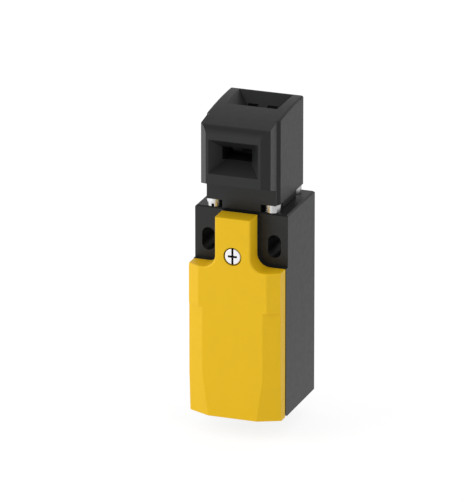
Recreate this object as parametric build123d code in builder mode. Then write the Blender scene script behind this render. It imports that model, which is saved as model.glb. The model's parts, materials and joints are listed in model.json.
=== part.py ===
from build123d import *
import math
import os

os.makedirs("parts", exist_ok=True)

# A plastic safety position switch that is worked by a separate key.
# Millimetres. x is to the right, y to the back, z up, with the origin under the middle of the box.

# Enclosure and cover, seen from outside
body_width = 31.0
body_depth = 33.8
body_height = 67.0
cover_depth = 6.8
ledge_step = 1.6
shoulder_drop = 17.3
tab_width = 11.8
tab_gap = 0.3
tab_fillet = 4.3
parting_gap = 0.1
top_bevel = 0.5
bottom_bevel = 1.3
cover_step = 0.2
facet_side_low = 3.5
facet_side_mid = 4.4
facet_side_high = 4.7
facet_reach_low = 7.2
facet_reach_mid = 5.2
facet_reach_high = 3.9
facet_bend = 14.0
facet_step_drop = 13.3
facet_round = 0.8
cover_edge = 0.6

# Walls and spaces inside the enclosure
body_wall = 2.2
cover_wall = 2.0
boss_height = 10.5
rim_low = 4.6
rim_top = 2.6
main_space_rise = 1.7
upper_space_drop = 7.0
slot_wall = 1.05
button_space = 2.0

# Cable entry and mounting slots
entry_radius = 10.0
mount_spacing = 22.0
mount_slot_width = 4.3
mount_slot_length = 7.5
mount_below_top = 10.8
axis_from_back = 13.3

# Cover screw, its insert and the cover hinge
screw_below_tab = 12.5
screw_radius = 2.0
screw_head_radius = 2.8
screw_head_height = 2.5
screw_head_gap = 0.2
screw_below_face = 0.1
screw_play = 0.15
screw_reach = 2.5
slot_cut = 0.65
cross_reach = 1.5
drive_depth = 1.2
insert_radius = 3.0
insert_length = 6.2
seal_radius = 2.75
seal_height = 0.8
hinge_height = 0.6
knuckle_radius = 1.6
knuckle_gap = 0.06
knuckle_inner = 7.5
knuckle_length = 5.0
knuckle_side_gap = 0.3
gasket_width = 1.0
gasket_depth = 0.9
gasket_corner = 1.2
gasket_above_rim = 0.7

# Head housing, measured from its turning axis and from the top of the enclosure
head_width = 24.56
head_back = 11.8
head_side_front = 9.98
head_neck = 1.23
nose_width = 23.14
nose_reach = 19.76
nose_chamfer = 2.45
nose_root = 11.6
front_reach = 12.2
nose_height = 10.2
nose_under_drop = 2.4
nose_round = 3.0
head_height = 31.9
crest_back = 10.4
crest_radius = 147.0
head_edge = 0.7
base_gap = 0.1
pocket_height = 2.6
pocket_start = 6.4
base_inset = 0.6
drum_height = 14.0

# Funnels and key passages
key_width = 8.2
key_thickness = 3.2
key_offset = 5.1
ear_inner = 1.55
ear_outer = 4.95
ear_height = 1.5
front_mouth_width = 16.5
front_mouth_below = 5.5
front_mouth_above = 5.75
front_funnel_depth = 4.76
top_mouth_width = 18.0
top_mouth_front = 8.4
top_mouth_back = 5.6
top_funnel_depth = 4.9

# Space for the drum, and the plate that closes it
drum_space_half = 6.2
drum_space_front = 7.9
drum_space_back = 9.2
drum_space_height = 23.9
plate_thickness = 2.0
plate_half = 9.9
plate_gap = 0.1
head_screw_place = 9.65
head_screw_radius = 1.4
head_screw_length = 8.0
head_screw_head = 2.55
head_screw_head_height = 2.45
head_screw_slot = 0.9

# Drum, key discs and shaft
drum_radius = 6.7
cam_half = 1.45
cam_lift = 2.2
cam_turn = 60.0
disc_gap = 0.1
disc_outer = 4.9
hub_radius = 3.4
shaft_radius = 2.0
shaft_half = 9.4
shaft_gap = 0.05
notch_width = 3.6
notch_depth = 2.6

# Spigot under the head, its ring and its locking fork
spigot_radius = 7.5
spigot_gap = 0.1
spigot_step = 3.5
spigot_lower_radius = 4.6
spigot_depth = 6.9
ring_wire = 0.62
ring_below_top = 1.75
groove_radius = 3.4
ring_groove = 1.24
groove_low = 6.0
groove_height = 1.2
fork_thickness = 0.9
fork_half = 5.2
fork_gap = 0.1
fork_tail = 4.4

# Plunger
plunger_radius = 1.6
plunger_gap = 0.05
plunger_above_block = 3.1
plunger_flange_radius = 2.8
plunger_flange = 0.8
plunger_flange_below_tip = 3.3
plunger_tip_gap = 0.1
spring_pocket_radius = 3.2
spring_pocket_depth = 3.7
wiper_radius = 2.5
wiper_height = 1.6

# Contact block: three poles one above the other
poles = 3
pole_pitch = 7.2
block_side_gap = 0.5
block_front_gap = 0.9
block_top_gap = 1.1
block_rib = 1.2
block_head = 2.6
block_roof = 1.0
channel_half = 3.75
terminal_half = 3.1
strip_to_bridge = 2.0
strip_edge = 0.4
chamber_side = 1.3
pocket_half = 9.0
pocket_depth = 4.5
pocket_margin = 3.0
strip_thickness = 0.9
strip_height = 5.4
tongue_thickness = 0.8
tongue_inner = 4.3
tongue_root = 1.0
bridge_overlap = 0.4
bridge_depth = 2.2
bridge_thickness = 0.8
contact_rest_gap = 0.1
terminal_screw_radius = 1.45
terminal_head_radius = 2.5
terminal_head_height = 2.0
terminal_screw_length = 7.0
clamp_size = 5.2
clamp_thickness = 0.9
clamp_gap = 0.3
clamp_play = 0.1
lid_thickness = 1.2
ledge_width = 2.0
ledge_thickness = 2.2

# Contact carrier and springs
carrier_half = 3.2
carrier_depth = 4.2
window_depth = 2.8
window_spring = 2.2
contact_spring_radius = 0.9
return_spring_radius = 2.3
coil_steps = 10
stem_radius = 1.6
button_radius = 3.0
button_height = 1.0
spring_wire = 0.25

# Places worked out from the sizes above
back_y = body_depth / 2
front_y = -body_depth / 2
parting_y = front_y + cover_depth
ledge_y = parting_y + ledge_step
axis_y = back_y - axis_from_back
shoulder_height = body_height - shoulder_drop
main_space_top = shoulder_height + main_space_rise
upper_space_top = body_height - upper_space_drop
half_width = body_width / 2
inner_half = half_width - body_wall
inner_back = back_y - body_wall
upper_half = mount_spacing / 2 - mount_slot_width / 2 - slot_wall
tab_top = body_height - tab_gap
cover_screw_z = tab_top - screw_below_tab
mount_z = body_height - mount_below_top
shell_z = body_height + pocket_height
plate_z = shell_z + plate_thickness
drum_z = body_height + drum_height
head_top_z = body_height + head_height
nose_z = body_height + nose_height
key_front_z = drum_z + key_offset
key_top_y = axis_y + key_offset
nose_y = axis_y - nose_reach
block_high = main_space_top - block_top_gap
block_low = block_high - block_head - poles * pole_pitch
block_half = inner_half - block_side_gap
block_back = inner_back
block_front_y = ledge_y + body_wall + block_front_gap
terminal_x = block_half - terminal_half
terminal_inner = terminal_x - terminal_half
plunger_foot = block_high + plunger_above_block
plunger_tip_z = drum_z - drum_radius - plunger_tip_gap
carrier_top = plunger_foot - plunger_tip_gap


def block(x, y, z, mode=Mode.ADD):
    """A rectangular block between the limits given along each axis."""
    with Locations(((x[0] + x[1]) / 2, (y[0] + y[1]) / 2, (z[0] + z[1]) / 2)):
        Box(x[1] - x[0], y[1] - y[0], z[1] - z[0], mode=mode)


def post(x, y, z, radius, mode=Mode.ADD):
    """An upright cylinder at x, y between two heights."""
    with Locations((x, y, z[0])):
        Cylinder(radius, z[1] - z[0], align=(Align.CENTER, Align.CENTER, Align.MIN), mode=mode)


def rod(x, z, y, radius, mode=Mode.ADD):
    """A cylinder along y at x, z between two depths."""
    with Locations(Location((x, y[0], z), (-90, 0, 0))):
        Cylinder(radius, y[1] - y[0], align=(Align.CENTER, Align.CENTER, Align.MIN), mode=mode)


def coil(y, z, radius, turns, wire):
    """A compression spring on an upright axis, as a chain of short straight lengths."""
    rise = (z[1] - z[0] - 2 * wire) / turns
    steps = round(turns * coil_steps)
    sections = []
    for step in range(steps + 1):
        turn = 2 * math.pi * step / coil_steps
        place = (
            radius * math.cos(turn),
            y + radius * math.sin(turn),
            z[0] + wire + rise * step / coil_steps,
        )
        outward = (math.cos(turn), math.sin(turn), 0)
        along = (-math.sin(turn), math.cos(turn), rise / (2 * math.pi * radius))
        with BuildSketch(Plane(place, x_dir=outward, z_dir=along)) as section:
            RegularPolygon(wire, 6)
        sections.append(section.sketch)
    loft(sections=sections, ruled=True)


def write(piece, name):
    """Label a finished piece and save it under the same name."""
    piece.part.label = name
    export_step(piece.part, f"parts/{name}.step")


# Front view of the cover: a plate with a narrower tab above it
with BuildSketch() as cover_shape:
    Rectangle(body_width, shoulder_height, align=(Align.CENTER, Align.MIN))
    Rectangle(tab_width, tab_top, align=(Align.CENTER, Align.MIN))
    inner_corners = cover_shape.vertices().filter_by(
        lambda v: abs(abs(v.X) - tab_width / 2) < 0.01 and abs(v.Y - shoulder_height) < 0.01
    )
    fillet(inner_corners, tab_fillet)

# Enclosure
with BuildPart() as enclosure_body:
    block((-half_width, half_width), (ledge_y, back_y), (0, body_height))
    chamfer(enclosure_body.faces().sort_by(Axis.Z)[-1].edges(), top_bevel)
    with BuildSketch(Plane.XZ.offset(-ledge_y)):
        add(cover_shape.sketch)
    extrude(amount=ledge_step)
    bottom_front = enclosure_body.edges().filter_by(Axis.X).filter_by(
        lambda e: abs(e.center().Z) < 0.01 and abs(e.center().Y - parting_y) < 0.01
    )
    chamfer(bottom_front, bottom_bevel)
    # Main space, open at the front inside the rim
    rim_z = (boss_height, shoulder_height - rim_top)
    block((-inner_half, inner_half), (parting_y, inner_back), rim_z, Mode.SUBTRACT)
    block(
        (-inner_half, inner_half),
        (ledge_y + body_wall, inner_back),
        (boss_height, main_space_top),
        Mode.SUBTRACT,
    )
    # Upper space between the mounting slots, behind the screw wall
    block(
        (-upper_half, upper_half),
        (axis_y - button_radius - button_space, inner_back),
        (main_space_top - 1, upper_space_top),
        Mode.SUBTRACT,
    )
    # Ledges that the contact block stands on
    for side in (-1, 1):
        edge = sorted((side * inner_half, side * (inner_half - ledge_width)))
        block(edge, (axis_y, inner_back), (block_low - ledge_thickness, block_low))
    # Stepped socket for the head
    socket_radius = spigot_radius + spigot_gap
    post(0, axis_y, (body_height - spigot_step - spigot_gap, body_height), socket_radius, Mode.SUBTRACT)
    post(
        0,
        axis_y,
        (upper_space_top - 1, body_height),
        spigot_lower_radius + spigot_gap,
        Mode.SUBTRACT,
    )
    # Slide for the locking fork
    fork_low = body_height - groove_low + (groove_height - fork_thickness) / 2
    block(
        (-fork_half - fork_gap, fork_half + fork_gap),
        (parting_y, axis_y + fork_tail + fork_gap),
        (fork_low - fork_gap / 2, fork_low + fork_thickness + fork_gap / 2),
        Mode.SUBTRACT,
    )
    # Cable entry
    post(0, axis_y, (0, boss_height), entry_radius, Mode.SUBTRACT)
    # Mounting slots
    with BuildSketch(Plane.XZ.offset(-back_y)):
        with Locations((-mount_spacing / 2, mount_z), (mount_spacing / 2, mount_z)):
            SlotOverall(mount_slot_length, mount_slot_width, rotation=90)
    extrude(amount=body_depth, mode=Mode.SUBTRACT)
    # Seat of the brass insert
    rod(0, cover_screw_z, (parting_y, parting_y + insert_length), insert_radius, Mode.SUBTRACT)
    # Sockets for the cover's hinge lugs
    for side in (-1, 1):
        lug_middle = side * (knuckle_inner + knuckle_length / 2)
        with Locations(Location((lug_middle, parting_y, hinge_height), (0, 90, 0))):
            Cylinder(
                knuckle_radius + knuckle_gap,
                knuckle_length + 2 * knuckle_side_gap,
                mode=Mode.SUBTRACT,
            )
write(enclosure_body, "enclosure_body")

# Brass insert that takes the cover screw
with BuildPart() as cover_screw_insert:
    rod(0, cover_screw_z, (parting_y, parting_y + insert_length), insert_radius)
    rod(
        0,
        cover_screw_z,
        (parting_y, parting_y + insert_length - 1),
        screw_radius + screw_play,
        Mode.SUBTRACT,
    )
write(cover_screw_insert, "cover_screw_insert")

# Cover: outer envelope with slanting side facets, and the hollow inside it
cover_back = parting_y - parting_gap


cover_half = half_width - cover_step
facet_step_z = shoulder_height - facet_step_drop
lower_facets = (
    (facet_reach_low, facet_reach_mid, facet_side_low),
    (facet_reach_mid, facet_reach_mid, facet_side_mid),
)
upper_facets = ((facet_reach_high, facet_reach_high, facet_side_high),)


def facet_plane(side, inset, low_reach, high_reach, depth):
    """Plane of a slanting facet, moved in by a wall; its normal points out of the cover."""
    low = Vector(side * (cover_half - low_reach), front_y, 0)
    high = Vector(side * (cover_half - high_reach), front_y, facet_bend)
    corner = Vector(side * cover_half, parting_y - depth, 0)
    outward = (high - low).cross(corner - low).normalized() * -side
    return Plane(low - outward * inset, z_dir=outward)


def envelope(inset, z, facets):
    """A length of the cover's outer form, moved in by a wall and cut by its facets."""
    inner = cover_half - inset
    with BuildPart(mode=Mode.PRIVATE) as length:
        block((-inner, inner), (front_y + inset, cover_back), z)
        for side in (-1, 1):
            for facet in facets:
                split(bisect_by=facet_plane(side, inset, *facet), keep=Keep.BOTTOM)
    add(length.part)


with BuildPart() as cover_hollow:
    envelope(cover_wall, (rim_low, facet_step_z), lower_facets)
    envelope(cover_wall, (facet_step_z, shoulder_height - rim_top), upper_facets)

with BuildPart() as cover:
    envelope(0, (0, facet_step_z), lower_facets)
    envelope(0, (facet_step_z, tab_top), upper_facets)
    creases = cover.edges().filter_by(
        lambda e: e.length > facet_round and abs(e.center().Y - front_y) < 0.01 and e.center().X != 0
    )
    creases = creases.filter_by(Axis.X, reverse=True)
    fillet(creases, facet_round)
    with BuildSketch(Plane.XZ.offset(-cover_back)):
        add(cover_shape.sketch)
    extrude(amount=cover_depth + 1, mode=Mode.INTERSECT)
    front_face = cover.faces().sort_by(Axis.Y)[0]
    front_rim = front_face.edges().filter_by(lambda e: e.center().Z > shoulder_height - 0.5)
    fillet(front_rim, cover_edge)
    # Hollow inside, within the rim
    add(cover_hollow.part, mode=Mode.SUBTRACT)
    # Core of the tab above the screw
    block(
        (-tab_width / 2 + cover_wall, tab_width / 2 - cover_wall),
        (front_y + cover_wall, cover_back),
        (cover_screw_z + screw_head_radius + cover_wall, tab_top - cover_wall),
        Mode.SUBTRACT,
    )
    # Screw recess and hole
    head_seat_y = front_y + screw_below_face + screw_head_height
    recess_radius = screw_head_radius + screw_head_gap
    rod(0, cover_screw_z, (front_y - 1, head_seat_y + seal_height), recess_radius, Mode.SUBTRACT)
    rod(0, cover_screw_z, (front_y, cover_back), screw_radius + screw_head_gap, Mode.SUBTRACT)
    # Groove for the gasket
    gasket_x = (inner_half + half_width) / 2
    gasket_z = (rim_low - gasket_above_rim, shoulder_height - rim_top / 2)
    with BuildSketch(Plane.XZ.offset(-cover_back)):
        with Locations((0, sum(gasket_z) / 2)):
            RectangleRounded(
                2 * gasket_x + gasket_width, gasket_z[1] - gasket_z[0] + gasket_width, gasket_corner
            )
            RectangleRounded(
                2 * gasket_x - gasket_width,
                gasket_z[1] - gasket_z[0] - gasket_width,
                gasket_corner,
                mode=Mode.SUBTRACT,
            )
    extrude(amount=gasket_depth, mode=Mode.SUBTRACT)
    # Hinge lugs
    for side in (-1, 1):
        lug_middle = side * (knuckle_inner + knuckle_length / 2)
        with Locations(Location((lug_middle, parting_y, hinge_height), (0, 90, 0))):
            Cylinder(knuckle_radius, knuckle_length)
    block((-body_width, body_width), (front_y, back_y), (-body_width, 0), Mode.SUBTRACT)
write(cover, "cover")

# Gasket in the cover's rim
with BuildPart() as cover_gasket:
    with BuildSketch(Plane.XZ.offset(-cover_back)):
        with Locations((0, sum(gasket_z) / 2)):
            RectangleRounded(
                2 * gasket_x + gasket_width, gasket_z[1] - gasket_z[0] + gasket_width, gasket_corner
            )
            RectangleRounded(
                2 * gasket_x - gasket_width,
                gasket_z[1] - gasket_z[0] - gasket_width,
                gasket_corner,
                mode=Mode.SUBTRACT,
            )
    extrude(amount=gasket_depth)
write(cover_gasket, "cover_gasket")

# Cover screw with a slot and a cross
with BuildPart() as cover_screw:
    head_face_y = front_y + screw_below_face
    rod(0, cover_screw_z, (head_face_y, head_seat_y), screw_head_radius)
    chamfer(cover_screw.edges().sort_by(Axis.Y)[0], 0.35)
    rod(0, cover_screw_z, (head_seat_y, parting_y + screw_reach), screw_radius)
    chamfer(cover_screw.edges().sort_by(Axis.Y)[-1], 0.4)
    block(
        (-slot_cut / 2, slot_cut / 2),
        (head_face_y, head_face_y + drive_depth),
        (cover_screw_z - screw_head_radius - 1, cover_screw_z + screw_head_radius + 1),
        Mode.SUBTRACT,
    )
    block(
        (-cross_reach, cross_reach),
        (head_face_y, head_face_y + drive_depth),
        (cover_screw_z - slot_cut / 2, cover_screw_z + slot_cut / 2),
        Mode.SUBTRACT,
    )
write(cover_screw, "cover_screw")

# Rubber ring under the screw head
with BuildPart() as cover_screw_seal:
    rod(0, cover_screw_z, (head_seat_y, head_seat_y + seal_height), seal_radius)
    rod(
        0,
        cover_screw_z,
        (head_seat_y, head_seat_y + seal_height),
        screw_radius + screw_head_gap,
        Mode.SUBTRACT,
    )
write(cover_screw_seal, "cover_screw_seal")

# Head housing with both funnels
shell_front = axis_y - head_side_front - head_neck
shell_back = axis_y + head_back
crest_y = axis_y + crest_back


def crest_z(y):
    """Height of the head's gently arched top at a depth."""
    return head_top_z - crest_radius + math.sqrt(crest_radius**2 - (crest_y - y) ** 2)


def key_profile(width, thickness):
    """Outline of the key passage: a flat slot with two ears on its far side."""
    Rectangle(width, thickness)
    ear_width = ear_outer - ear_inner
    ear_x = (ear_outer + ear_inner) / 2
    with Locations((-ear_x, ear_height / 2), (ear_x, ear_height / 2)):
        Rectangle(ear_width, thickness + ear_height)


nose_root_y = axis_y - nose_root
neck_half = head_width / 2 - head_neck

# Side view of the head: arched top, and the step under the nose
with BuildSketch(Plane.YZ) as head_side:
    with BuildLine():
        low_front = axis_y - front_reach
        Polyline(
            (shell_back, crest_z(shell_back)),
            (shell_back, shell_z),
            (low_front, shell_z),
            (low_front, nose_z - nose_under_drop),
            (nose_y, nose_z),
            (nose_y, crest_z(nose_y)),
        )
        ThreePointArc(
            (nose_y, crest_z(nose_y)),
            (axis_y, crest_z(axis_y)),
            (shell_back, crest_z(shell_back)),
        )
    make_face()
    nose_tip = head_side.vertices().sort_by(Axis.X)[:2].sort_by(Axis.Y)[-1]
    fillet(nose_tip, nose_round)

# Nose of the head, with slanted upright corners and a soft upper edge
with BuildPart() as head_nose:
    with BuildSketch(Plane.XY.offset(shell_z)):
        with BuildLine():
            half = nose_width / 2
            Polyline(
                (-half, nose_root_y),
                (-half, nose_y + nose_chamfer),
                (-half + nose_chamfer, nose_y),
                (half - nose_chamfer, nose_y),
                (half, nose_y + nose_chamfer),
                (half, nose_root_y),
                close=True,
            )
        make_face()
    extrude(amount=head_height)
    extrude(head_side.sketch, amount=head_width, both=True, mode=Mode.INTERSECT)

with BuildPart() as head_housing:
    # Rear shell
    with BuildSketch(Plane.XY.offset(shell_z)):
        with Locations((0, (shell_front + shell_back) / 2)):
            Rectangle(head_width, shell_back - shell_front)
    extrude(amount=head_height)
    chamfer(head_housing.edges().filter_by(Axis.Z).group_by(Axis.Y)[0], head_neck)
    extrude(head_side.sketch, amount=head_width, both=True, mode=Mode.INTERSECT)
    shell_top = head_housing.faces().filter_by(GeomType.CYLINDER).sort_by(SortBy.AREA)[-1]
    soft_edges = shell_top.edges().filter_by(lambda e: e.center().Y > axis_y)
    soft_edges += head_housing.edges().filter_by(Axis.Z).group_by(Axis.Y)[-1]
    fillet(soft_edges, head_edge)
    # Neck that carries the nose, level with the arched top
    with BuildSketch(Plane.XY.offset(shell_z)):
        with Locations((0, (nose_root_y + axis_y) / 2)):
            Rectangle(2 * neck_half, axis_y - nose_root_y)
    neck = extrude(amount=head_height, mode=Mode.PRIVATE)
    add(neck & extrude(head_side.sketch, amount=head_width, both=True, mode=Mode.PRIVATE))
    add(head_nose.part)
    # Front funnel
    funnel_end = nose_y + front_funnel_depth
    mouth_low = key_front_z - front_mouth_below
    mouth_high = key_front_z + front_mouth_above
    with BuildSketch(Plane.XZ.offset(-nose_y)):
        with Locations((0, (mouth_low + mouth_high) / 2)):
            Rectangle(front_mouth_width, mouth_high - mouth_low)
    with BuildSketch(Plane.XZ.offset(-funnel_end)):
        with Locations((0, key_front_z)):
            Rectangle(key_width, key_thickness)
    loft(ruled=True, mode=Mode.SUBTRACT)
    with BuildSketch(Plane.XZ.offset(-funnel_end + 1.5)):
        with Locations((0, key_front_z)):
            key_profile(key_width, key_thickness)
    extrude(amount=-(axis_y - funnel_end), mode=Mode.SUBTRACT)
    # Top funnel
    funnel_floor = head_top_z - top_funnel_depth
    mouth_front = key_top_y - top_mouth_front
    mouth_back = key_top_y + top_mouth_back
    with BuildSketch(Plane.XY.offset(head_top_z)):
        with Locations((0, (mouth_front + mouth_back) / 2)):
            Rectangle(top_mouth_width, mouth_back - mouth_front)
    with BuildSketch(Plane.XY.offset(funnel_floor)):
        with Locations((0, key_top_y)):
            Rectangle(key_width, key_thickness)
    loft(ruled=True, mode=Mode.SUBTRACT)
    with BuildSketch(Plane.XY.offset(funnel_floor + 1.5)):
        with Locations((0, key_top_y)):
            key_profile(key_width, key_thickness)
    extrude(amount=-(funnel_floor + 1.5 - drum_z), mode=Mode.SUBTRACT)
    # Space for the drum, open below
    block(
        (-drum_space_half, drum_space_half),
        (axis_y - drum_space_front, axis_y + drum_space_back),
        (shell_z, body_height + drum_space_height),
        Mode.SUBTRACT,
    )
    # Seat of the base plate
    seat_half = plate_half + plate_gap
    block(
        (-seat_half, seat_half),
        (axis_y - seat_half, axis_y + seat_half),
        (shell_z, plate_z),
        Mode.SUBTRACT,
    )
    # Shaft slots, open below for assembly
    shaft_end = shaft_half + disc_gap
    with Locations(Location((0, axis_y, drum_z), (0, 90, 0))):
        Cylinder(shaft_radius, 2 * shaft_end, mode=Mode.SUBTRACT)
    block(
        (-shaft_end, shaft_end),
        (axis_y - shaft_radius, axis_y + shaft_radius),
        (shell_z, drum_z),
        Mode.SUBTRACT,
    )
    # Screw holes
    for x in (-head_screw_place, head_screw_place):
        for y in (axis_y - head_screw_place, axis_y + head_screw_place):
            post(x, y, (shell_z, shell_z + head_screw_length + 1), head_screw_radius, Mode.SUBTRACT)
write(head_housing, "head_housing")

# Base of the head: plate, cross-shaped foot, shaft posts and spigot
foot_z = body_height + base_gap
with BuildPart() as head_base:
    block((-plate_half, plate_half), (axis_y - plate_half, axis_y + plate_half), (shell_z, plate_z))
    for x in (-head_screw_place, head_screw_place):
        for y in (axis_y - head_screw_place, axis_y + head_screw_place):
            post(x, y, (shell_z, plate_z), head_screw_radius + plate_gap, Mode.SUBTRACT)
    side_reach = head_width / 2 - base_inset
    block((-side_reach, side_reach), (axis_y - pocket_start, axis_y + pocket_start), (foot_z, shell_z))
    block(
        (-pocket_start, pocket_start),
        (axis_y - front_reach, axis_y + head_back - base_inset),
        (foot_z, shell_z),
    )
    # Posts that close the shaft slots
    for side in (-1, 1):
        reach = sorted((side * (drum_space_half + plate_gap), side * shaft_half))
        width = shaft_radius - plate_gap
        block(reach, (axis_y - width, axis_y + width), (shell_z, drum_z))
    with Locations(Location((0, axis_y, drum_z), (0, 90, 0))):
        Cylinder(shaft_radius, 2 * head_width, mode=Mode.SUBTRACT)
    # Spigot, ring groove and locking groove
    spigot_end = body_height - spigot_depth
    post(0, axis_y, (body_height - spigot_step, shell_z), spigot_radius)
    post(0, axis_y, (spigot_end, shell_z), spigot_lower_radius)
    ring_z = body_height - ring_below_top
    ring_centre = spigot_radius - ring_wire
    with BuildSketch(Plane.XZ.offset(-axis_y)):
        with Locations((ring_centre + ring_wire, ring_z)):
            Rectangle(4 * ring_wire, 2 * ring_groove * ring_wire)
        with Locations((groove_radius + spigot_radius / 2, body_height - groove_low + groove_height / 2)):
            Rectangle(spigot_radius, groove_height)
    revolve(axis=Axis((0, axis_y, 0), (0, 0, 1)), mode=Mode.SUBTRACT)
    # Plunger bore, spring pocket and wiper seat
    post(0, axis_y, (spigot_end, plate_z), plunger_radius + plunger_gap, Mode.SUBTRACT)
    post(0, axis_y, (plate_z - spring_pocket_depth, plate_z), spring_pocket_radius, Mode.SUBTRACT)
    post(0, axis_y, (spigot_end, spigot_end + wiper_height), wiper_radius, Mode.SUBTRACT)
write(head_base, "head_base")

# Sealing ring round the spigot
with BuildPart() as spigot_ring:
    with BuildSketch(Plane.XZ.offset(-axis_y)):
        with Locations((ring_centre, ring_z)):
            RegularPolygon(ring_wire, 6)
    revolve(axis=Axis((0, axis_y, 0), (0, 0, 1)))
write(spigot_ring, "spigot_ring")

# Wiper ring round the plunger
with BuildPart() as plunger_wiper:
    post(0, axis_y, (spigot_end, spigot_end + wiper_height), wiper_radius)
    post(0, axis_y, (spigot_end, spigot_end + wiper_height), plunger_radius + plunger_gap, Mode.SUBTRACT)
write(plunger_wiper, "plunger_wiper")

# Four slotted screws that hold the base to the housing, heads down
with BuildPart() as head_screws:
    slot_turns = {(-1, -1): 93, (1, -1): 10, (-1, 1): 40, (1, 1): 75}
    for (side_x, side_y), turn in slot_turns.items():
        place = (side_x * head_screw_place, axis_y + side_y * head_screw_place)
        post(*place, (shell_z - head_screw_head_height, shell_z), head_screw_head)
        post(*place, (shell_z, shell_z + head_screw_length), head_screw_radius)
        with Locations(Location((*place, shell_z - head_screw_head_height), (0, 0, turn))):
            Box(3 * head_screw_head, head_screw_slot, 2 * head_screw_slot, mode=Mode.SUBTRACT)
write(head_screws, "head_screws")

# Locking fork that holds the head's spigot
with BuildPart() as head_lock_fork:
    block(
        (-fork_half, fork_half),
        (parting_y + 0.2, axis_y + fork_tail),
        (fork_low, fork_low + fork_thickness),
    )
    fork_z = (fork_low, fork_low + fork_thickness)
    post(0, axis_y, fork_z, groove_radius + fork_gap, Mode.SUBTRACT)
    fork_inner = groove_radius + fork_gap
    block((-fork_inner, fork_inner), (axis_y, back_y), fork_z, Mode.SUBTRACT)
write(head_lock_fork, "head_lock_fork")

# Shaft of the drum
with BuildPart() as drum_shaft:
    with Locations(Location((0, axis_y, drum_z), (0, 90, 0))):
        Cylinder(shaft_radius, 2 * shaft_half)
    chamfer(drum_shaft.edges().filter_by(GeomType.CIRCLE), 0.3)
write(drum_shaft, "drum_shaft")


def drum_point(angle, radius):
    """A point of the drum's side view at an angle up from the back."""
    turn = math.radians(angle)
    return (axis_y + radius * math.cos(turn), drum_z + radius * math.sin(turn))


# Cam: full radius, then a spiral that lets the plunger rise as the drum turns
first_key_angle = 180 - math.degrees(math.asin(key_offset / drum_radius))
second_key_angle = first_key_angle - 90
cam_start = -90.0
cam_run_on = 12.0
cam_rate = cam_lift / cam_turn
with BuildPart() as cam_drum:
    with BuildSketch(Plane.YZ.offset(-cam_half)):
        with BuildLine():
            run = [cam_start + (cam_turn + cam_run_on) * i / 12 for i in range(13)]
            spiral = [drum_point(a, drum_radius - cam_rate * (a - cam_start)) for a in run]
            Spline(*spiral)
            Line(spiral[-1], drum_point(run[-1] + 12, drum_radius))
            ThreePointArc(
                drum_point(run[-1] + 12, drum_radius),
                drum_point(90, drum_radius),
                drum_point(180, drum_radius),
            )
            ThreePointArc(drum_point(180, drum_radius), drum_point(225, drum_radius), spiral[0])
        make_face()
    extrude(amount=2 * cam_half)
    with Locations(Location((0, axis_y, drum_z), (0, 90, 0))):
        Cylinder(hub_radius, 2 * disc_outer)
        Cylinder(shaft_radius + shaft_gap, 2 * disc_outer, mode=Mode.SUBTRACT)
    for angle in (first_key_angle, second_key_angle):
        with BuildSketch(Plane.YZ.offset(-cam_half)):
            with Locations(Location((*drum_point(angle, drum_radius), 0), (0, 0, angle))):
                Rectangle(2 * notch_depth, notch_width)
        extrude(amount=2 * cam_half, mode=Mode.SUBTRACT)
write(cam_drum, "cam_drum")

# Key discs on both sides of the cam
for side, name in ((-1, "key_disc_left"), (1, "key_disc_right")):
    disc_start = side * (cam_half + disc_gap)
    disc_thickness = disc_outer - cam_half - disc_gap
    with BuildPart() as key_disc:
        with BuildSketch(Plane.YZ.offset(disc_start)):
            with Locations((axis_y, drum_z)):
                Circle(drum_radius)
                Circle(hub_radius, mode=Mode.SUBTRACT)
            for angle in (first_key_angle, second_key_angle):
                with Locations(Location((*drum_point(angle, drum_radius), 0), (0, 0, angle))):
                    Rectangle(2 * notch_depth, notch_width, mode=Mode.SUBTRACT)
        extrude(amount=side * disc_thickness)
    write(key_disc, name)

# Plunger between the cam and the contact carrier
flange_top = plunger_tip_z - plunger_flange_below_tip + plunger_flange
with BuildPart() as head_plunger:
    post(0, axis_y, (plunger_foot, flange_top), plunger_radius)
    post(0, axis_y, (flange_top - plunger_flange, flange_top), plunger_flange_radius)
    with BuildSketch(Plane.YZ.offset(-cam_half + disc_gap)):
        with BuildLine():
            tip_half = 0.6
            Polyline(
                (axis_y - plunger_radius, flange_top),
                (axis_y - plunger_radius, flange_top + 0.3),
                (axis_y - tip_half, plunger_tip_z - tip_half / 2),
            )
            ThreePointArc(
                (axis_y - tip_half, plunger_tip_z - tip_half / 2),
                (axis_y, plunger_tip_z),
                (axis_y + tip_half, plunger_tip_z - tip_half / 2),
            )
            Polyline(
                (axis_y + tip_half, plunger_tip_z - tip_half / 2),
                (axis_y + plunger_radius, flange_top + 0.3),
                (axis_y + plunger_radius, flange_top),
                (axis_y - plunger_radius, flange_top),
            )
        make_face()
    extrude(amount=2 * (cam_half - disc_gap))
write(head_plunger, "head_plunger")

# Spring that keeps the plunger on the cam
with BuildPart() as plunger_spring:
    coil(
        axis_y,
        (plate_z - spring_pocket_depth, flange_top - plunger_flange),
        (plunger_radius + spring_pocket_radius) / 2,
        3.5,
        spring_wire,
    )
write(plunger_spring, "plunger_spring")

# Levels of the poles: the lower two close as the carrier rises, the top one opens
levels = [block_low + pole_pitch * (i + 0.5) + block_rib / 2 for i in range(poles)]
rising = {level: i < poles - 1 for i, level in enumerate(levels)}
tongue_low = {}
bridge_low = {}
for level in levels:
    if rising[level]:
        bridge_low[level] = level - 1.4
        tongue_low[level] = bridge_low[level] + bridge_thickness + cam_lift
    else:
        tongue_low[level] = level - 2.0
        bridge_low[level] = tongue_low[level] + tongue_thickness + contact_rest_gap
chamber_height = pole_pitch - block_rib
channel_y = axis_y + carrier_depth / 2 + 0.5
tongue_back = axis_y + bridge_depth / 2 + tongue_root
strip_back = axis_y - bridge_depth / 2 - strip_to_bridge
strip_y = strip_back - strip_thickness

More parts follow.
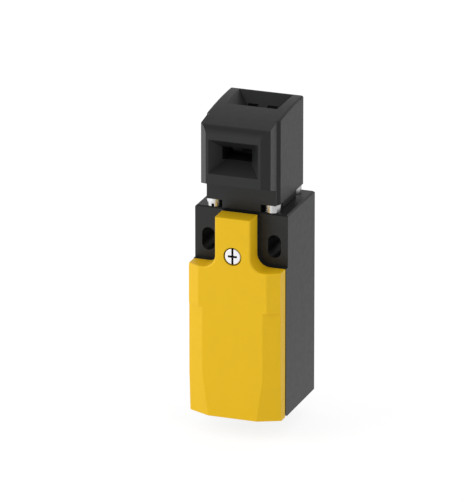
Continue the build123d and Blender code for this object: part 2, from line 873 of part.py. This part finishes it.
# Insulating base of the contact block
with BuildPart() as contact_block_base:
    block((-block_half, block_half), (block_front_y, block_back), (block_low, block_high))
    # Channel of the carrier, closed at the top by a guide plate
    block(
        (-channel_half, channel_half),
        (block_front_y, channel_y),
        (block_low, block_high - block_roof),
        Mode.SUBTRACT,
    )
    block(
        (-terminal_inner, terminal_inner),
        (block_front_y, block_front_y + lid_thickness),
        (block_low, block_high),
        Mode.SUBTRACT,
    )
    stem_hole = (block_high - 2 * block_roof, block_high)
    post(0, axis_y, stem_hole, stem_radius + plunger_gap, Mode.SUBTRACT)
    chamber_half = terminal_inner + chamber_side
    for level in levels:
        z = (level - chamber_height / 2, level + chamber_height / 2)
        # Contact chamber, and the two terminal pockets open to the front and side
        block((-chamber_half, chamber_half), (strip_y, channel_y), z, Mode.SUBTRACT)
        for side in (-1, 1):
            outside = sorted((side * terminal_inner, side * half_width))
            block(outside, (block_front_y, strip_back), z, Mode.SUBTRACT)
            screw_end = strip_y - clamp_gap - clamp_thickness + terminal_screw_length
            rod(side * terminal_x, level, (strip_y, screw_end + 0.3), terminal_screw_radius, Mode.SUBTRACT)
    # Lightening pocket at the back
    block(
        (-pocket_half, pocket_half),
        (block_back - pocket_depth, block_back),
        (block_low + pocket_margin, block_high - pocket_margin),
        Mode.SUBTRACT,
    )
write(contact_block_base, "contact_block_base")

# Front lid of the contact block
with BuildPart() as contact_block_lid:
    lid_half = terminal_inner - 0.05
    block((-lid_half, lid_half), (block_front_y, block_front_y + lid_thickness), (block_low, block_high))
    for level in levels[:-1]:
        middle = level + pole_pitch / 2
        block(
            (-lid_half + 2, lid_half - 2),
            (block_front_y, block_front_y + 0.4),
            (middle - 0.4, middle + 0.4),
            Mode.SUBTRACT,
        )
write(contact_block_lid, "contact_block_lid")

# Fixed contacts: terminal strip and inward tongue
with BuildPart() as fixed_contacts:
    for level in levels:
        for side in (-1, 1):
            strip_x = sorted((side * terminal_inner, side * (block_half - strip_edge)))
            strip_z = (level - strip_height / 2, level + strip_height / 2)
            block(strip_x, (strip_y, strip_back), strip_z)
            tongue_z = (tongue_low[level], tongue_low[level] + tongue_thickness)
            tongue_x = sorted((side * tongue_inner, side * (terminal_inner + tongue_root)))
            block(tongue_x, (strip_y, tongue_back), tongue_z)
            rod(side * terminal_x, level, (strip_y, strip_back), terminal_screw_radius, Mode.SUBTRACT)
write(fixed_contacts, "fixed_contacts")

# Terminal screws and the clamping plates under their heads
head_back_y = strip_y - clamp_gap - clamp_thickness
with BuildPart() as terminal_screws:
    for level in levels:
        for side in (-1, 1):
            x = side * terminal_x
            head_y = (head_back_y - terminal_head_height, head_back_y)
            rod(x, level, head_y, terminal_head_radius)
            rod(x, level, (head_back_y, head_back_y + terminal_screw_length), terminal_screw_radius)
            half_slot = slot_cut / 2
            slot_y = (head_y[0], head_y[0] + 1)
            block((x - 3, x + 3), slot_y, (level - half_slot, level + half_slot), Mode.SUBTRACT)
write(terminal_screws, "terminal_screws")

with BuildPart() as clamp_plates:
    for level in levels:
        for side in (-1, 1):
            x = side * terminal_x
            half_clamp = clamp_size / 2
            clamp_y = (head_back_y, head_back_y + clamp_thickness)
            block((x - half_clamp, x + half_clamp), clamp_y, (level - half_clamp, level + half_clamp))
            slot_half = terminal_screw_radius + clamp_play
            slot_x = sorted((x - side * slot_half, x + side * clamp_size))
            block(slot_x, clamp_y, (level - slot_half, level + slot_half), Mode.SUBTRACT)
write(clamp_plates, "clamp_plates")

# Contact carrier with a window for each bridge
bar_high = block_high - block_roof - cam_lift - contact_rest_gap
window_low = {}
for level in levels:
    if rising[level]:
        window_low[level] = bridge_low[level] - window_spring
    else:
        window_low[level] = bridge_low[level]
with BuildPart() as contact_carrier:
    carrier_y = (axis_y - carrier_depth / 2, axis_y + carrier_depth / 2)
    bar_low = window_low[levels[0]] - 1.0
    block((-carrier_half, carrier_half), carrier_y, (bar_low, bar_high))
    post(0, axis_y, (bar_high, carrier_top), stem_radius)
    post(0, axis_y, (carrier_top - button_height, carrier_top), button_radius)
    for level in levels:
        window_z = (window_low[level], window_low[level] + window_spring + bridge_thickness)
        block(
            (-carrier_half, carrier_half),
            (axis_y - window_depth / 2, axis_y + window_depth / 2),
            window_z,
            Mode.SUBTRACT,
        )
write(contact_carrier, "contact_carrier")

# Moving bridges
bridge_half = terminal_inner + bridge_overlap
with BuildPart() as contact_bridges:
    for level in levels:
        bridge_z = (bridge_low[level], bridge_low[level] + bridge_thickness)
        bridge_y = (axis_y - bridge_depth / 2, axis_y + bridge_depth / 2)
        block((-bridge_half, bridge_half), bridge_y, bridge_z)
write(contact_bridges, "contact_bridges")

# Small springs behind the bridges
with BuildPart() as contact_springs:
    for level in levels:
        if rising[level]:
            spring_z = (window_low[level], bridge_low[level])
        else:
            top = window_low[level] + window_spring + bridge_thickness
            spring_z = (bridge_low[level] + bridge_thickness, top)
        coil(axis_y, spring_z, contact_spring_radius, 2.5, spring_wire)
write(contact_springs, "contact_springs")

# Return spring under the carrier's button
with BuildPart() as carrier_return_spring:
    spring_z = (block_high, carrier_top - button_height)
    coil(axis_y, spring_z, return_spring_radius, 2.5, spring_wire)
write(carrier_return_spring, "carrier_return_spring")
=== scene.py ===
import bpy
import json
import math
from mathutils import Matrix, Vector


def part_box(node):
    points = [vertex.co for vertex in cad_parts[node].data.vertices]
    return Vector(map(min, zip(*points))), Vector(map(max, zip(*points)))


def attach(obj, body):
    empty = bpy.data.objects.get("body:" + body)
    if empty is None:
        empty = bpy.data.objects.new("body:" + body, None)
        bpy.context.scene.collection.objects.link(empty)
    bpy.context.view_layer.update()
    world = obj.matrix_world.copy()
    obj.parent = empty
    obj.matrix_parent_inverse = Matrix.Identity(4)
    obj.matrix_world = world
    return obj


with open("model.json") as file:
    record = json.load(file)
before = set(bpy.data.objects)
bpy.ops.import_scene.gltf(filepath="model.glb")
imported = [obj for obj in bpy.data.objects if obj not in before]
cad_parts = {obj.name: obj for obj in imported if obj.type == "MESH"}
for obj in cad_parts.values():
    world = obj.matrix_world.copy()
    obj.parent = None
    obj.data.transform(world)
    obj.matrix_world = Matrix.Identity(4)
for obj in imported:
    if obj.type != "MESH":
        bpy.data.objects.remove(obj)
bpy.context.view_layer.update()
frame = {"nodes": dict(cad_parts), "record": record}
nodes = frame["nodes"]
mounts = {m["name"]: m for m in frame["record"]["mounts"]}
slot_of = {s["node"]: s["material_slot"] for s in frame["record"]["subparts"]}
scene = bpy.context.scene
MM = 0.001

# Camera: the photograph's viewing angle, from far away with a long lens
AZIMUTH = math.radians(20.0)
ELEVATION = math.radians(19.7)
DISTANCE = 2.4
TARGET = Vector((-6.26, -0.4, 50.2)) * MM
PIXELS_PER_METRE = 3168.5
IMAGE_HEIGHT = 500
SENSOR = 36.0
CLIP_NEAR = 0.01
CLIP_FAR = 20.0


def turned_to_target(place):
    """The rotation of a camera or lamp at a place that points it at the target."""
    return (Vector(place) - TARGET).to_track_quat("Z", "Y").to_euler()


def place_camera():
    data = bpy.data.cameras.new("camera")
    data.sensor_width = SENSOR
    data.lens = SENSOR * DISTANCE * PIXELS_PER_METRE / IMAGE_HEIGHT
    data.clip_start = CLIP_NEAR
    data.clip_end = CLIP_FAR
    camera = bpy.data.objects.new("camera", data)
    scene.collection.objects.link(camera)
    away = Vector((
        math.sin(AZIMUTH) * math.cos(ELEVATION),
        -math.cos(AZIMUTH) * math.cos(ELEVATION),
        math.sin(ELEVATION),
    ))
    camera.location = TARGET + DISTANCE * away
    camera.rotation_euler = turned_to_target(camera.location)
    scene.camera = camera


place_camera()

# Where most of a noise's values lie, and the colour sockets of a mix node
NOISE_LOW = 0.35
NOISE_HIGH = 0.65
COLOUR_A = 6
COLOUR_B = 7
COLOUR_OUT = 2


class Graph:
    """A material's node tree, with a few words for adding and joining nodes."""

    def __init__(self, name):
        self.name = name
        self.material = bpy.data.materials.new(name)
        self.material.use_nodes = True
        self.tree = self.material.node_tree
        self.shader = self.tree.nodes["Principled BSDF"]

    def add(self, kind, **settings):
        """A new node. Each setting is one of its properties, or else the value of one of its inputs."""
        node = self.tree.nodes.new(kind)
        for key, value in settings.items():
            if hasattr(node, key):
                setattr(node, key, value)
            else:
                node.inputs[key.replace("_", " ")].default_value = value
        return node

    def set(self, **values):
        """Sets inputs of the shader."""
        for key, value in values.items():
            self.shader.inputs[key.replace("_", " ")].default_value = value

    def join(self, source, target):
        self.tree.links.new(source, target)

    def feed(self, value, target):
        """Gives an input a number, or joins another node's output to it."""
        if isinstance(value, bpy.types.NodeSocket):
            self.join(value, target)
        else:
            target.default_value = value

    def noise(self, scale, detail=3.0, roughness=0.55):
        """A cloudy value that rides with the object."""
        coords = self.add("ShaderNodeTexCoord")
        noise = self.add("ShaderNodeTexNoise", Scale=scale, Detail=detail, Roughness=roughness)
        self.join(coords.outputs["Object"], noise.inputs["Vector"])
        return noise.outputs["Fac"]

    def along(self, axis, kind="Object"):
        """The place along one axis."""
        coords = self.add("ShaderNodeTexCoord")
        parts = self.add("ShaderNodeSeparateXYZ")
        self.join(coords.outputs[kind], parts.inputs["Vector"])
        return parts.outputs[axis]

    def spread(self, source, low, high, from_low=NOISE_LOW, from_high=NOISE_HIGH):
        """A value that goes from low to high while the source goes from from_low to from_high."""
        remap = self.add(
            "ShaderNodeMapRange", From_Min=from_low, From_Max=from_high, To_Min=low, To_Max=high
        )
        self.join(source, remap.inputs["Value"])
        return remap.outputs["Result"]

    def maths(self, operation, first, second):
        """Two values made into one."""
        node = self.add("ShaderNodeMath", operation=operation)
        self.feed(first, node.inputs[0])
        self.feed(second, node.inputs[1])
        return node.outputs["Value"]

    def mix(self, share, first, second):
        """A value that goes from the first to the second with the share."""
        node = self.add("ShaderNodeMix")
        self.join(share, node.inputs["Factor"])
        self.feed(first, node.inputs["A"])
        self.feed(second, node.inputs["B"])
        return node.outputs["Result"]

    def seen_rays(self, *kinds):
        """1 for rays of the given kinds, 0 for the rest."""
        rays = self.add("ShaderNodeLightPath")
        total = rays.outputs[kinds[0]]
        for kind in kinds[1:]:
            total = self.maths("MAXIMUM", total, rays.outputs[kind])
        return total

    def colours(self, source, dark, light):
        """Base colour that goes from dark to light with the source."""
        ramp = self.add("ShaderNodeValToRGB")
        for stop, place, colour in zip(ramp.color_ramp.elements, (NOISE_LOW, NOISE_HIGH), (dark, light)):
            stop.position = place
            stop.color = (*colour, 1)
        self.join(source, ramp.inputs["Fac"])
        self.join(ramp.outputs["Color"], self.shader.inputs["Base Color"])

    def bump(self, source, distance, strength):
        bump = self.add("ShaderNodeBump", Distance=distance, Strength=strength)
        self.join(source, bump.inputs["Height"])
        self.join(bump.outputs["Normal"], self.shader.inputs["Normal"])


# Materials: noise scales are per metre, colours are linear
PLASTIC_CLOUDS = 180.0
PLASTIC_PATCHES = 600.0
PLASTIC_GRAIN = 9000.0
PLASTIC_SPREAD = 0.02
GRAIN_DEPTH = 0.01 * MM
METAL_CLOUDS = 500.0
METAL_DARK = 0.96
METAL_LIGHT = 1.03
METAL_SMOOTHER = 0.02
METAL_ROUGHER = 0.03
# Painted shade: the dark colour put inside the cover screw's drive slots, where shade falls
SLOT_PAINTED_SHADE = (0.02, 0.02, 0.02, 1)
SLOT_SHADE_STARTS = 0.05 * MM
SLOT_SHADE_FULL = 0.5 * MM
COVER_SCREW_SLOT = 1.3 * MM
BLACK = (0.0115, 0.0120, 0.0122)
YELLOW = (0.90, 0.55, 0.006)


def shade(colour, factor):
    return tuple(c * factor for c in colour)


def plastic(name, colour, roughness, ior, mottle=0.02, grain=0.3):
    """Moulded plastic with a fine spark-eroded grain and slight mottling."""
    g = Graph(name)
    g.set(IOR=ior)
    g.colours(g.noise(PLASTIC_CLOUDS, detail=4.0), shade(colour, 1 - mottle), shade(colour, 1 + mottle))
    patches = g.noise(PLASTIC_PATCHES)
    uneven = g.spread(patches, roughness - PLASTIC_SPREAD, roughness + PLASTIC_SPREAD)
    g.join(uneven, g.shader.inputs["Roughness"])
    g.bump(g.noise(PLASTIC_GRAIN, detail=2.0, roughness=0.6), GRAIN_DEPTH, grain)
    return g


def metal(name, colour, roughness):
    """Plated or drawn metal with faint unevenness."""
    g = Graph(name)
    g.set(Metallic=1.0)
    cloud = g.noise(METAL_CLOUDS)
    g.colours(cloud, shade(colour, METAL_DARK), shade(colour, METAL_LIGHT))
    uneven = g.spread(cloud, roughness - METAL_SMOOTHER, roughness + METAL_ROUGHER)
    g.join(uneven, g.shader.inputs["Roughness"])
    return g


def screw_steel_painted_slot_shade(name, colour, roughness, face, slot_depth):
    """Plated steel whose drive slots, between the head's face and their floor, are painted dark as
    shade.
    """
    g = metal(name, colour, roughness)
    clean = g.shader.inputs["Base Color"].links[0].from_socket
    depth = g.along("Y")
    below_face = g.spread(depth, 0.0, 1.0, face + SLOT_SHADE_STARTS, face + SLOT_SHADE_FULL)
    above_floor = g.maths("LESS_THAN", depth, face + slot_depth)
    # Painted shade: inside the slot, by depth, the steel's colour is mixed to dark
    mix = g.add("ShaderNodeMix", data_type="RGBA")
    g.join(g.maths("MULTIPLY", below_face, above_floor), mix.inputs["Factor"])
    g.join(clean, mix.inputs[COLOUR_A])
    g.feed(SLOT_PAINTED_SHADE, mix.inputs[COLOUR_B])
    g.join(mix.outputs[COLOUR_OUT], g.shader.inputs["Base Color"])
    return g


finishes = (
    plastic("black_plastic", BLACK, roughness=0.40, ior=1.40),
    plastic("yellow_plastic", YELLOW, roughness=0.44, ior=1.36, mottle=0.01),
    plastic("seal_rubber", (0.022, 0.022, 0.023), roughness=0.7, ior=1.4),
    plastic("drum_plastic", (0.02, 0.02, 0.02), roughness=0.4, ior=1.42),
    plastic("plunger_plastic", (0.7, 0.69, 0.63), roughness=0.38, ior=1.42),
    plastic("block_plastic", (0.17, 0.18, 0.19), roughness=0.5, ior=1.42),
    plastic("red_plastic", (0.42, 0.02, 0.015), roughness=0.4, ior=1.42),
    metal("zinc_steel", (0.66, 0.66, 0.67), roughness=0.26),
    metal("brass", (0.78, 0.56, 0.24), roughness=0.28),
    metal("contact_metal", (0.82, 0.79, 0.72), roughness=0.26),
    metal("spring_steel", (0.56, 0.56, 0.57), roughness=0.22),
    metal("shaft_steel", (0.62, 0.62, 0.63), roughness=0.18),
)
materials = {finish.name: finish.material for finish in finishes}

# Soft edges on the CAD pieces that are seen: widths in millimetres
EDGE = {
    "enclosure_body": 0.22,
    "head_housing": 0.15,
    "head_base": 0.15,
    "cover": 0.12,
    "cover_screw": 0.10,
    "head_screws": 0.15,
    "contact_block_base": 0.12,
    "contact_block_lid": 0.12,
    "terminal_screws": 0.10,
    "clamp_plates": 0.10,
    "head_lock_fork": 0.08,
}
ROUND_PIECES = ("plunger_spring", "contact_springs", "carrier_return_spring", "spigot_ring")
WELD_DISTANCE = 0.001 * MM
FLAT_ANGLE = math.radians(0.3)
EDGE_ANGLE = math.radians(28)
EDGE_SEGMENTS = 2
NORMAL_WEIGHT = 80


def smooth(obj):
    """Joins the split faces of a CAD node and shades it as one smooth surface."""
    mesh = obj.data
    for attribute in ("custom_normal", "sharp_edge"):
        if attribute in mesh.attributes:
            mesh.attributes.remove(mesh.attributes[attribute])
    mesh.polygons.foreach_set("use_smooth", [True] * len(mesh.polygons))
    weld = obj.modifiers.new("weld", "WELD")
    weld.merge_threshold = WELD_DISTANCE


def soften(obj, width):
    """Rounds the sharp edges of a CAD node a little."""
    smooth(obj)
    flat = obj.modifiers.new("flat", "DECIMATE")
    flat.decimate_type = "DISSOLVE"
    flat.angle_limit = FLAT_ANGLE
    bevel = obj.modifiers.new("bevel", "BEVEL")
    bevel.width = width * MM
    bevel.segments = EDGE_SEGMENTS
    bevel.limit_method = "ANGLE"
    bevel.angle_limit = EDGE_ANGLE
    bevel.miter_outer = "MITER_ARC"
    normals = obj.modifiers.new("normals", "WEIGHTED_NORMAL")
    normals.mode = "FACE_AREA"
    normals.weight = NORMAL_WEIGHT


def dress(name, obj, material):
    """Gives a CAD node its finish, and soft edges or a round look if it has them."""
    if not obj.data.materials:
        obj.data.materials.append(material)
    for slot in obj.material_slots:
        slot.material = material
    if name in EDGE:
        soften(obj, EDGE[name])
    if name in ROUND_PIECES:
        smooth(obj)


screw_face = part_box("cover_screw")[0][1]
# The cover screw's steel, with painted shade inside its drive slots
slot_shaded_steel = screw_steel_painted_slot_shade("cover_screw_steel_painted_slot_shade", (0.84, 0.84, 0.86), 0.22, screw_face, COVER_SCREW_SLOT)
special = {"cover_screw": slot_shaded_steel.material}
for name, obj in nodes.items():
    dress(name, obj, special.get(name, materials[slot_of[name]]))

# The cable entry's thread: one ridge, of a height from 0 to 1 over a pitch, winds up inside the bore
THREAD_BORE = mounts["cable_entry"]["dims"]["r_mm"] * MM
THREAD_CREST = 9.2 * MM
THREAD_LOW = 0.6 * MM
THREAD_HIGH = 9.9 * MM
THREAD_PITCH = 1.5 * MM
THREAD_BACK = 0.03 * MM
THREAD_STEPS = 72
RIDGE = (0.0, 0.25, 1.0, 1.0, 0.25, 0.0)


def ridge_height(phase):
    """How far the ridge stands out, from 0 to 1, at a phase from 0 to 1 through one pitch."""
    near = int(phase * len(RIDGE))
    share = phase * len(RIDGE) - near
    return RIDGE[near % len(RIDGE)] * (1 - share) + RIDGE[(near + 1) % len(RIDGE)] * share


def thread():
    """The ridge as a closed mesh whose back lies in the wall."""
    axis_y = mounts["cable_entry"]["pos_m"][1]
    rows_per_turn = len(RIDGE)
    rows = round((THREAD_HIGH - THREAD_LOW) / THREAD_PITCH * rows_per_turn)

    def ring(height, radii):
        turns = [2 * math.pi * step / THREAD_STEPS for step in range(THREAD_STEPS)]
        return [(r * math.cos(t), axis_y + r * math.sin(t), height) for r, t in zip(radii, turns)]

    points = []
    for row in range(rows + 1):
        fade = min(1.0, row / rows_per_turn, (rows - row) / rows_per_turn)
        phases = [(row / rows_per_turn - step / THREAD_STEPS) % 1.0 for step in range(THREAD_STEPS)]
        radii = [THREAD_BORE - (THREAD_BORE - THREAD_CREST) * ridge_height(p) * fade for p in phases]
        points += ring(THREAD_LOW + (THREAD_HIGH - THREAD_LOW) * row / rows, radii)
    back = [THREAD_BORE + THREAD_BACK] * THREAD_STEPS
    points += ring(THREAD_LOW, back) + ring(THREAD_HIGH, back)

    # The rings lie in the points from bottom to top, then the back's two
    top = rows * THREAD_STEPS
    back_low = top + THREAD_STEPS
    back_high = back_low + THREAD_STEPS
    faces = []
    for step in range(THREAD_STEPS):
        after = (step + 1) % THREAD_STEPS
        for start in range(0, top, THREAD_STEPS):
            above = start + THREAD_STEPS
            faces.append((start + after, start + step, above + step, above + after))
        faces.append((step, after, back_low + after, back_low + step))
        faces.append((top + after, top + step, back_high + step, back_high + after))
        faces.append((back_low + step, back_low + after, back_high + after, back_high + step))
    mesh = bpy.data.meshes.new("entry_thread")
    mesh.from_pydata(points, [], faces)
    mesh.polygons.foreach_set("use_smooth", [True] * len(mesh.polygons))
    obj = bpy.data.objects.new("entry_thread", mesh)
    scene.collection.objects.link(obj)
    mesh.materials.append(materials["black_plastic"])
    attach(obj, "enclosure")


thread()

# Studio: pale floor and soft light. The floor lies low, clear of the cover when it is open.
FLOOR = 6.0
FLOOR_DROP = 7.0 * MM
FLOOR_COLOUR = (0.8, 0.8, 0.8, 1)
FLOOR_ROUGHNESS = 0.9
WHITE = (1, 1, 1, 1)

# How much of the floor that is seen is its own white, and how bright that is
FLOOR_GLOW = 0.7
FLOOR_WHITE = 1.2

# The white's strength in reflections, from LEFT_X to RIGHT_X
FLOOR_LEFT = 1.6
FLOOR_RIGHT = 0.74
LEFT_X = -0.15
RIGHT_X = 0.08

# The world's strength: as light, and in reflections from the horizon to overhead
DAYLIGHT = 0.7
HORIZON = 1.0
OVERHEAD = 0.5
HORIZON_ENDS = 0.05
OVERHEAD_STARTS = 0.45
BACKGROUND = 1.0


def floor():
    """Pale floor that keeps the object's shadow. In reflections it is dimmer on the right."""
    mesh = bpy.data.meshes.new("floor")
    corners = [(-FLOOR, -FLOOR, 0), (FLOOR, -FLOOR, 0), (FLOOR, FLOOR, 0), (-FLOOR, FLOOR, 0)]
    mesh.from_pydata(corners, [], [(0, 1, 2, 3)])
    obj = bpy.data.objects.new("floor", mesh)
    obj.location.z = -FLOOR_DROP
    scene.collection.objects.link(obj)
    g = Graph("floor")
    g.set(Roughness=FLOOR_ROUGHNESS, Base_Color=FLOOR_COLOUR)
    reflected = g.spread(g.along("X"), FLOOR_LEFT, FLOOR_RIGHT, LEFT_X, RIGHT_X)
    white = g.add("ShaderNodeEmission", Color=WHITE)
    g.join(g.mix(g.seen_rays("Is Camera Ray"), reflected, FLOOR_WHITE), white.inputs["Strength"])
    seen = g.seen_rays("Is Camera Ray", "Is Glossy Ray", "Is Transmission Ray")
    mix = g.add("ShaderNodeMixShader")
    g.join(g.maths("MULTIPLY", seen, FLOOR_GLOW), mix.inputs["Fac"])
    g.join(g.shader.outputs["BSDF"], mix.inputs[1])
    g.join(white.outputs["Emission"], mix.inputs[2])
    g.join(mix.outputs["Shader"], g.tree.nodes["Material Output"].inputs["Surface"])
    mesh.materials.append(g.material)


class WorldGraph(Graph):
    """The world's node tree."""

    def __init__(self):
        world = bpy.data.worlds.new("world")
        scene.world = world
        world.use_nodes = True
        self.tree = world.node_tree
        self.shader = self.tree.nodes["Background"]


def surroundings():
    """White all round for the camera, darker overhead in reflections, and a soft light."""
    g = WorldGraph()
    height = g.along("Z", "Generated")
    reflected = g.spread(height, HORIZON, OVERHEAD, HORIZON_ENDS, OVERHEAD_STARTS)
    unseen = g.mix(g.seen_rays("Is Glossy Ray", "Is Transmission Ray"), DAYLIGHT, reflected)
    g.join(g.mix(g.seen_rays("Is Camera Ray"), unseen, BACKGROUND), g.shader.inputs["Strength"])
    g.set(Color=WHITE)


def lamp(name, place, power, size):
    """A square lamp that points at the target."""
    data = bpy.data.lights.new(name, "AREA")
    data.energy = power
    data.size = size
    light = bpy.data.objects.new(name, data)
    light.location = place
    light.rotation_euler = turned_to_target(place)
    scene.collection.objects.link(light)


floor()
surroundings()
lamp("key", (-1.15, -0.7, 0.45), power=8.8, size=1.2)
lamp("fill", (1.1, -0.3, 0.6), power=0.8, size=0.8)

scene.view_settings.view_transform = "Standard"
